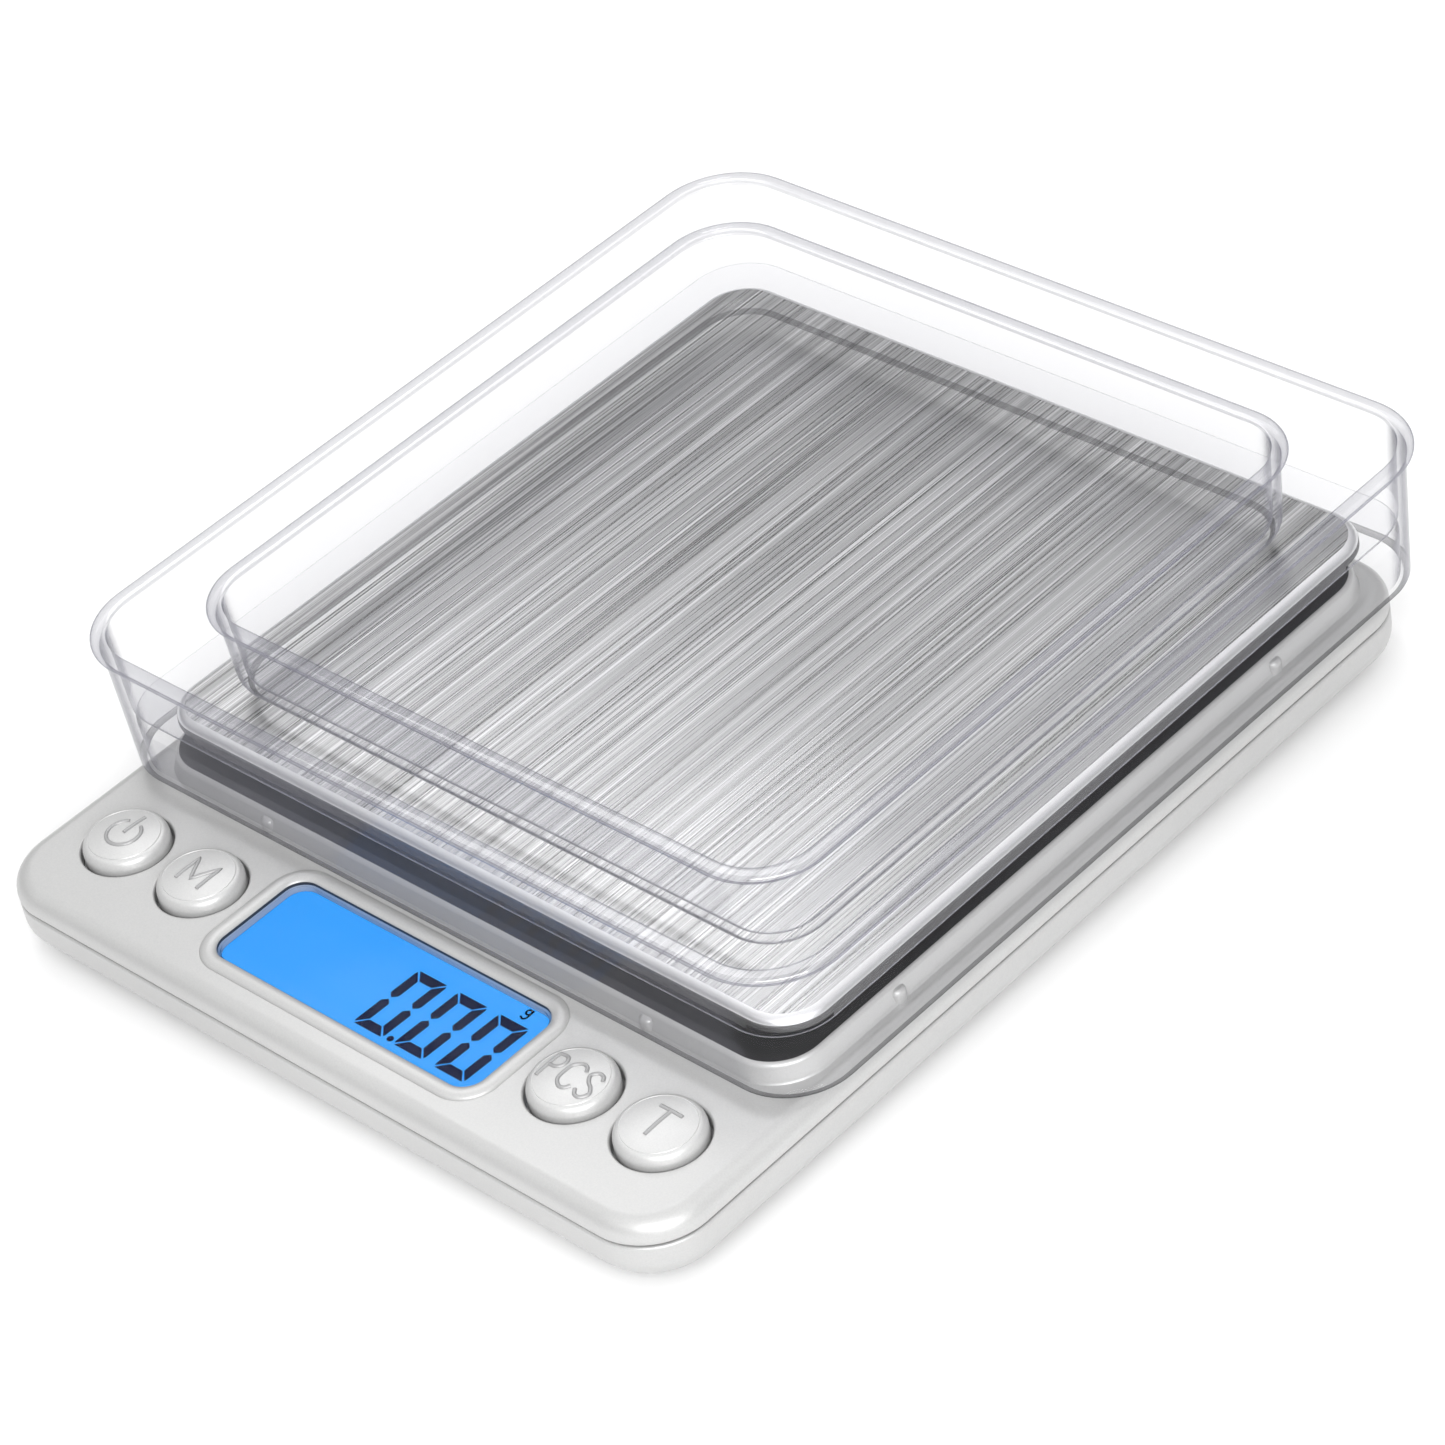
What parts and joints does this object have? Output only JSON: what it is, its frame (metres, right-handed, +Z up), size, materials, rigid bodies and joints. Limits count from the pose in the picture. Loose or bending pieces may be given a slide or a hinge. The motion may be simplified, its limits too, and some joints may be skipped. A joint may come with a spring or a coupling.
{
  "type": "digital gram scale",
  "caption": "Flat pocket gram scale with a blue display, round buttons, a brushed steel platform and clear nested trays.",
  "frame": {"origin": "centre of the overall box, on the plane the feet stand on", "axes": "+Z up from the table, +Y from the display to the back, +X along the button row to the right"},
  "size_m": [0.1124, 0.1322, 0.032],
  "materials": {
    "silver_casing": "satin silver paint on ABS",
    "silver_button": "satin silver paint",
    "brushed_platform": "stainless, brushed front to back",
    "clear_tray": "clear polystyrene",
    "display_lens": "clear acrylic",
    "display_blue": "backlit blue LCD",
    "backlight": "diffuser",
    "black_rubber": "matte",
    "black_plastic": "moulded",
    "grey_rubber": "matte",
    "screw_steel": "zinc plated",
    "load_cell_alloy": "machined",
    "white_resin": "silicone potting",
    "board": "solder mask",
    "nickel": "nickel plated spring steel",
    "battery_jacket": "printed sleeve",
    "lead_red": "PVC insulation",
    "lead_black": "PVC insulation",
    "lead_white": "PVC insulation",
    "lead_green": "PVC insulation"
  },
  "bodies": {
    "casing": {"top_casing": "silver_casing", "bottom_casing": "silver_casing", "display_window": "display_lens", "lcd_panel": "display_blue", "lcd_backlight": "backlight", "foot_1": "black_rubber", "foot_2": "black_rubber", "foot_3": "black_rubber", "foot_4": "black_rubber", "controller_chip": "black_plastic", "zebra_strip_front": "grey_rubber", "zebra_strip_rear": "grey_rubber", "casing_screw_1": "screw_steel", "casing_screw_2": "screw_steel", "casing_screw_3": "screw_steel", "casing_screw_4": "screw_steel", "base_screw_1": "screw_steel", "base_screw_2": "screw_steel", "board_screw_1": "screw_steel", "board_screw_2": "screw_steel", "switch_body_1": "screw_steel", "switch_body_2": "screw_steel", "switch_body_3": "screw_steel", "switch_body_4": "screw_steel", "load_cell": "load_cell_alloy", "strain_gauge_cover": "white_resin", "circuit_board": "board", "battery_spring_1": "nickel", "battery_spring_2": "nickel", "terminal_positive": "nickel", "terminal_negative": "nickel", "battery_link": "nickel", "battery_1": "battery_jacket", "battery_2": "battery_jacket", "battery_lead_red": "lead_red", "battery_lead_black": "lead_black", "load_cell_lead_white": "lead_white", "load_cell_lead_green": "lead_green"},
    "platform": {"weighing_platform": "brushed_platform", "platform_support": "black_plastic", "pan_screw_1": "screw_steel", "pan_screw_2": "screw_steel", "platform_pad_1": "grey_rubber", "platform_pad_2": "grey_rubber", "platform_pad_3": "grey_rubber", "platform_pad_4": "grey_rubber"},
    "large_tray": {"large_tray": "clear_tray"},
    "small_tray": {"small_tray": "clear_tray"},
    "battery_door": {"battery_door": "silver_casing"},
    "button_power": {"button_power": "silver_button", "switch_plunger_1": "black_plastic"},
    "button_mode": {"button_mode": "silver_button", "switch_plunger_2": "black_plastic"},
    "button_count": {"button_count": "silver_button", "switch_plunger_3": "black_plastic"},
    "button_tare": {"button_tare": "silver_button", "switch_plunger_4": "black_plastic"}
  },
  "joints": [
    {"name": "platform_deflection", "type": "slide", "parent": "casing", "child": "platform", "axis": [0, 0, -1], "range_m": [0, 0.0005], "stiffness_N_per_m": 20000, "springref_m": -0.0001, "deforming": ["load_cell"]},
    {"name": "large_tray_lift", "type": "slide", "parent": "platform", "child": "large_tray", "axis": [0, 0, 1], "range_m": [0, 0.05]},
    {"name": "small_tray_lift", "type": "slide", "parent": "large_tray", "child": "small_tray", "axis": [0, 0, 1], "range_m": [0, 0.05]},
    {"name": "battery_door_hinge", "type": "hinge", "parent": "casing", "child": "battery_door", "pos_m": [-0.0245, 0.0339, 0.0014], "axis": [0, 1, 0], "range_deg": [0, 95]},
    {"name": "button_power_press", "type": "slide", "parent": "casing", "child": "button_power", "axis": [0, 0, -1], "range_m": [0, 0.0005], "stiffness_N_per_m": 300, "springref_m": -0.0003},
    {"name": "button_mode_press", "type": "slide", "parent": "casing", "child": "button_mode", "axis": [0, 0, -1], "range_m": [0, 0.0005], "stiffness_N_per_m": 300, "springref_m": -0.0003},
    {"name": "button_count_press", "type": "slide", "parent": "casing", "child": "button_count", "axis": [0, 0, -1], "range_m": [0, 0.0005], "stiffness_N_per_m": 300, "springref_m": -0.0003},
    {"name": "button_tare_press", "type": "slide", "parent": "casing", "child": "button_tare", "axis": [0, 0, -1], "range_m": [0, 0.0005], "stiffness_N_per_m": 300, "springref_m": -0.0003}
  ]
}
